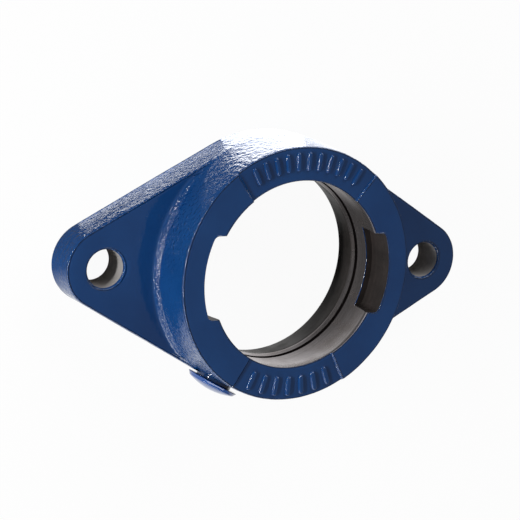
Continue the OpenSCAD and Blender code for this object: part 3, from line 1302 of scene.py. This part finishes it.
BLUE_ENAMEL = Enamel(
    name="blue_enamel",
    deep=rgba(0.004, 0.041, 0.155),
    clear=rgba(0.006, 0.051, 0.183),
    gloss=(0.04, 0.08),
    grain=850.0,
    bump=0.0011,
    smooth_share=0.05,
    index=1.55,
)
PLUG_PLASTIC = Enamel(
    name="plug_plastic",
    deep=rgba(0.008, 0.06, 0.25),
    clear=rgba(0.01, 0.07, 0.28),
    gloss=(0.08, 0.13),
    grain=500.0,
    bump=0.00006,
    smooth_share=1.0,
    index=1.5,
    coat=0.45,
)
BARE_IRON = {
    Zone.SEAT: BareIron(
        name="turned_seat",
        bright=rgba(0.5, 0.465, 0.47),
        stain=rgba(0.38, 0.34, 0.33),
        gloss=(0.2, 0.3),
        metal=0.95,
        rings=2600.0,
        bump=0.00002,
    ),
    # Painted shade: the grease groove is nearly black and almost without shine, and this stands in for the
    # shade inside it.
    Zone.GROOVE: BareIron(
        name="groove_painted_shade",
        bright=rgba(0.014, 0.011, 0.011),
        stain=rgba(0.006, 0.005, 0.005),
        gloss=(0.6, 0.8),
        metal=0.0,
        rings=1800.0,
        bump=0.00004,
        shine=0.05,
    ),
    Zone.DRILLED: BareIron(
        name="drilled_iron",
        bright=rgba(0.58, 0.555, 0.54),
        stain=rgba(0.46, 0.425, 0.405),
        gloss=(0.5, 0.65),
        metal=0.45,
        rings=2200.0,
        bump=0.00004,
    ),
    Zone.BACK: BareIron(
        name="faced_back",
        bright=rgba(0.36, 0.35, 0.34),
        stain=rgba(0.22, 0.2, 0.18),
        gloss=(0.35, 0.5),
        metal=0.6,
        rings=1500.0,
        bump=0.00003,
        along=Along.X,
    ),
    Zone.SLOT: BareIron(
        name="raw_iron",
        bright=rgba(0.036, 0.029, 0.027),
        stain=rgba(0.016, 0.013, 0.012),
        gloss=(0.45, 0.6),
        metal=0.1,
        rings=900.0,
        bump=0.0001,
        shine=0.3,
    ),
    Zone.RELIEF: BareIron(
        name="relief_iron",
        bright=rgba(0.05, 0.045, 0.043),
        stain=rgba(0.03, 0.027, 0.025),
        gloss=(0.35, 0.5),
        metal=0.0,
        rings=2200.0,
        bump=0.00003,
        shine=0.1,
    ),
}


@dataclass(frozen=True)
class SoftBox:
    """A soft lamp: its place, aim and size (metres), its power and its turn about its aim (degrees)."""

    name: str
    place: tuple[float, float, float]
    aim: tuple[float, float, float]
    size: tuple[float, float]
    watts: float
    roll: float = 0.0

    @classmethod
    def lying(cls, name: str, middle: tuple, size: tuple, watts: float, roll: float = 0.0) -> "SoftBox":
        """A card that lies just above the floor and shines straight up."""
        lift, above = 0.0003, 1.0
        return cls(name, (*middle, lift), (*middle, above), size, watts, roll)

    def build(self) -> bpy.types.Object:
        """Makes the lamp as an area light that the camera does not see.

        Returns:
            The lamp's object.
        """
        data = bpy.data.lights.new(self.name, "AREA")
        data.shape = "RECTANGLE"
        data.size, data.size_y = self.size
        data.energy = self.watts
        made = bpy.data.objects.new(self.name, data)
        made.location = self.place
        facing = (Vector(self.aim) - Vector(self.place)).to_track_quat("-Z", "Y")
        made.rotation_euler = (facing @ Quaternion((0.0, 0.0, 1.0), math.radians(self.roll))).to_euler()
        made.visible_camera = False
        bpy.context.scene.collection.objects.link(made)
        return made


@dataclass
class Studio:
    """A pale floor that fades to white, soft light and the camera that looks down on the front face.

    Lengths are in millimetres, apart from the camera's clip, the floor's half width and the lamps.

    Attributes:
        hole_x: Distance of the bolt holes from the bore's axis.
        floor_drop: How far the floor lies below the mounting face.
        shadow_share: Share of the lit floor, shadow and all, in the white that is seen.
        bounce: Share of its white that the floor throws back on the part.
        speckles: Cells of the floor's faint noise a metre.
        bore_r: Radius of the floor in the bore, as mirrors see it.
        bore_band: Distances from the X axis between which that floor goes from bore_mirror_shade to white.
        bore_side: Places along X between which its white left part ends.
        edge_band: Places along Y between which the floor round the bore goes from dim to white in mirrors.
        hole_r: Radius of the floor in a bolt hole, as mirrors see it.
        soft_edges: Width of the soft edge of the bore's floor and of a bolt hole's floor.
        fill: Strength of the sky's light.
        gloss_fill: Strength of the sky in mirrors.
    """

    hole_x: float
    camera_mm: tuple[float, float, float] = (-249.2, 101.88, 427.68)
    camera_deg: tuple[float, float, float] = (-14.673, -29.184, 5.873)
    lens: float = 107.33
    sensor: float = 36.0
    clip: tuple[float, float] = (0.01, 20.0)
    floor_half: float = 3.0
    floor_drop: float = 0.02
    shadow_share: float = 0.05
    bounce: float = 0.45
    speckles: float = 40.0
    speckle: tuple[float, float] = (0.94, 0.98)
    bore_r: float = 34.0
    bore_band: tuple[float, float] = (6.0, 26.0)
    bore_side: tuple[float, float] = (-10.0, 6.0)
    edge_band: tuple[float, float] = (-2.0, -11.0)
    # Painted shade in reflections: how dim mirrors see the floor on its +Y side, in the bore and in the
    # bolt holes.
    dim: float = 0.1
    bore_mirror_shade: float = 0.06
    hole_r: float = 6.2
    hole_mirror_shade: float = 0.02
    soft_edges: tuple[float, float] = (3.0, 0.3)
    fill: float = 0.06
    gloss_fill: float = 0.25
    lamps: tuple[SoftBox, ...] = (
        SoftBox("back_box", (0.34, 0.7, 0.34), (0.0, 0.0, 0.01), (0.9, 0.6), 5.5),
        SoftBox("left_strip", (-0.575, 0.03, 0.232), (-0.02, 0.0, 0.012), (0.56, 0.015), 3.5),
        SoftBox("low_fill", (-0.25, -0.55, 0.12), (0.0, 0.0, 0.01), (0.6, 0.3), 2.1),
        SoftBox.lying("top_card", (-0.0015, 0.08), (0.031, 0.094), 0.0406),
        SoftBox.lying("far_card", (0.057, 0.08), (0.086, 0.094), 0.045),
        SoftBox.lying("side_near", (-0.0406, 0.026), (0.054, 0.0012), 0.0006, -29.7),
        SoftBox.lying("side_far", (-0.0353, 0.0331), (0.038, 0.0014), 0.0006, -29.7),
    )

    def mirror_glow(self, make: ShaderTree, place: Socket) -> Socket:
        """How bright mirrors see the floor: white, with painted shade as dim parts in the bore, round it
        and in the holes.

        Args:
            make: The floor's tree helper.
            place: Place on the floor.

        Returns:
            A grey from 0 to 1.
        """
        # Painted shade in reflections: the floor is dimmed for mirrors only. This covers its +Y half, a
        # strip along X in the bore's right part and the bolt holes, so the enamel and the iron reflect dark
        # there.
        falling = (1.0, 0.0)
        bore_soft, hole_soft = self.soft_edges
        parts = make.node("SeparateXYZ", {"Vector": place})
        along, across = parts.outputs["X"], parts.outputs["Y"]
        in_bore = make.ramp(make.length(place), metres(self.bore_r, self.bore_r + bore_soft), falling)
        aside = make.sum(Sum.SIZE, across)
        aside_glow = make.ramp(aside, metres(*self.bore_band), (self.bore_mirror_shade, 1.0))
        left_glow = make.ramp(along, metres(*self.bore_side), falling)
        bore_glow = make.sum(Sum.LARGER, aside_glow, left_glow)
        edge_glow = make.ramp(across, metres(*self.edge_band), (self.dim, 1.0))
        from_hole = make.sum(Sum.SUBTRACT, make.sum(Sum.SIZE, along), self.hole_x * MM)
        off_hole = make.node("CombineXYZ", {"X": from_hole, "Y": across}).outputs["Vector"]
        in_hole = make.ramp(make.length(off_hole), metres(self.hole_r, self.hole_r + hole_soft), falling)
        return make.mix(in_hole, make.mix(in_bore, edge_glow, bore_glow), rgba(*[self.hole_mirror_shade] * 3))

    def floor(self) -> bpy.types.Object:
        """Makes the floor: it glows where the camera or a mirror looks, with a share of its lit face.

        Returns:
            The floor's object.
        """
        half, low = self.floor_half / MM, -self.floor_drop
        corners = np.array([[-half, -half, low], [half, -half, low], [half, half, low], [-half, half, low]])
        made = mesh_object("floor", corners, [[0, 1, 2, 3]], crease=30.0)
        paint, make = new_material("pale_floor")
        path = make.node("LightPath")
        camera = path.outputs["Is Camera Ray"]
        seen = make.sum(Sum.LARGER, camera, path.outputs["Is Glossy Ray"])
        seen = make.sum(Sum.LARGER, seen, path.outputs["Is Transmission Ray"])
        place = make.place()
        speckle = make.ramp(make.noise(place, self.speckles), WHOLE, self.speckle)
        lit = make.sum(Sum.MULTIPLY, speckle, make.ramp(seen, WHOLE, (self.bounce, 1.0)))
        card = make.node("BsdfDiffuse", {"Color": lit})
        # Mirrors see the painted shade of mirror_glow; the camera sees plain white.
        strength = make.sum(Sum.LARGER, self.mirror_glow(make, place), camera)
        glow = make.node("Emission", {"Color": rgba(1.0, 1.0, 1.0), "Strength": strength})
        share = make.sum(Sum.MULTIPLY, seen, 1.0 - self.shadow_share)
        mixed = make.node("MixShader", {0: share, 1: card.outputs["BSDF"], 2: glow.outputs["Emission"]})
        make.finish(mixed.outputs["Shader"])
        made.data.materials.append(paint)
        return made

    def world(self) -> None:
        """Sets a plain sky: white to the camera, grey to a mirror and a dim fill to everything else."""
        sky = bpy.data.worlds.new("studio_sky")
        bpy.context.scene.world = sky
        sky.use_nodes = True
        make = ShaderTree(sky.node_tree)
        path = make.node("LightPath")
        mirror = make.ramp(path.outputs["Is Glossy Ray"], WHOLE, (self.fill, self.gloss_fill))
        strength = make.sum(Sum.LARGER, mirror, path.outputs["Is Camera Ray"])
        back = make.node("Background", {"Color": rgba(1.0, 1.0, 1.0), "Strength": strength})
        make.finish(back.outputs["Background"], "OutputWorld")

    def camera(self) -> bpy.types.Object:
        """Makes the camera at the photograph's angle.

        Returns:
            The camera's object.
        """
        data = bpy.data.cameras.new("camera")
        data.lens, data.sensor_width = self.lens, self.sensor
        data.clip_start, data.clip_end = self.clip
        made = bpy.data.objects.new("camera", data)
        made.location = Vector(self.camera_mm) * MM
        made.rotation_euler = Euler([math.radians(angle) for angle in self.camera_deg], "XYZ")
        bpy.context.scene.collection.objects.link(made)
        bpy.context.scene.camera = made
        return made

    def build(self) -> None:
        """Builds floor, sky, lamps and camera."""
        bpy.context.scene.view_settings.view_transform = "Standard"
        self.floor()
        self.world()
        for lamp in self.lamps:
            lamp.build()
        self.camera()
        log.info("studio: %d lamps", len(self.lamps))


def main() -> None:
    """Builds and dresses the casting, its marks and the plug, and then builds the studio."""
    logging.basicConfig(level=logging.INFO, format="%(name)s %(message)s")
    bolts, seat = mount("mounting_bolts")["dims"], mount("bearing_seat")
    casting = Casting(
        flange=FlangeOutline(bolts["spacing_x_mm"] / 2),
        slots=SlotOutline(),
        height=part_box("housing")[1].z / MM,
        seat_r=seat["dims"]["r_mm"],
        seat_z=seat["pos_m"][2] / MM,
        hole_r=bolts["hole_r_mm"],
    )
    grain, cutter_marks = cast_grain_group(), tool_mark_group()
    blue = BLUE_ENAMEL.material(grain)
    bare = {zone: iron.material(cutter_marks) for zone, iron in BARE_IRON.items()}
    casting.build({Zone.ENAMEL: blue, **bare})
    marks = CastMarks(casting)
    marks.dress(marks.build(), blue)
    plug = PortPlug(casting)
    plug.dress(plug.build(), PLUG_PLASTIC.material(grain))
    Studio(hole_x=casting.flange.bolt_x).build()


if __name__ == "__main__":
    main()
